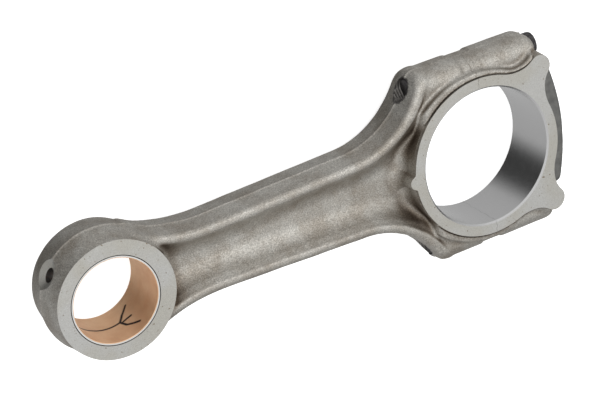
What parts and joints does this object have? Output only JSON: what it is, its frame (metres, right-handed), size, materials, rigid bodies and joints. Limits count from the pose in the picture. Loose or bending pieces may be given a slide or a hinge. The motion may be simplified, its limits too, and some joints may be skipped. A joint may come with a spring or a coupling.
{
  "type": "connecting rod",
  "caption": "Fracture-split I-beam connecting rod with a bolted bearing cap, two flanged cap bolts and a pressed small-end bush.",
  "frame": {"origin": "middle of the bounding box's bottom face, so the rod lies flat on Z = 0", "axes": "+X runs from the small end (piston pin) to the big end (crankpin), both bores point along +Z, and the cap bolts lie along X on either side in Y"},
  "size_m": [0.3076, 0.112, 0.0345],
  "materials": {
    "forged_steel": "shot-blasted forging with ground side faces and honed bores",
    "bush_bronze": "fine-bored bronze lining on a steel back",
    "bolt_steel": "black phosphated high-strength steel"
  },
  "bodies": {
    "root": {"rod_body": "forged_steel", "bearing_cap": "forged_steel", "small_end_bush": "bush_bronze", "cap_bolt_left": "bolt_steel", "cap_bolt_right": "bolt_steel"}
  },
  "joints": []
}
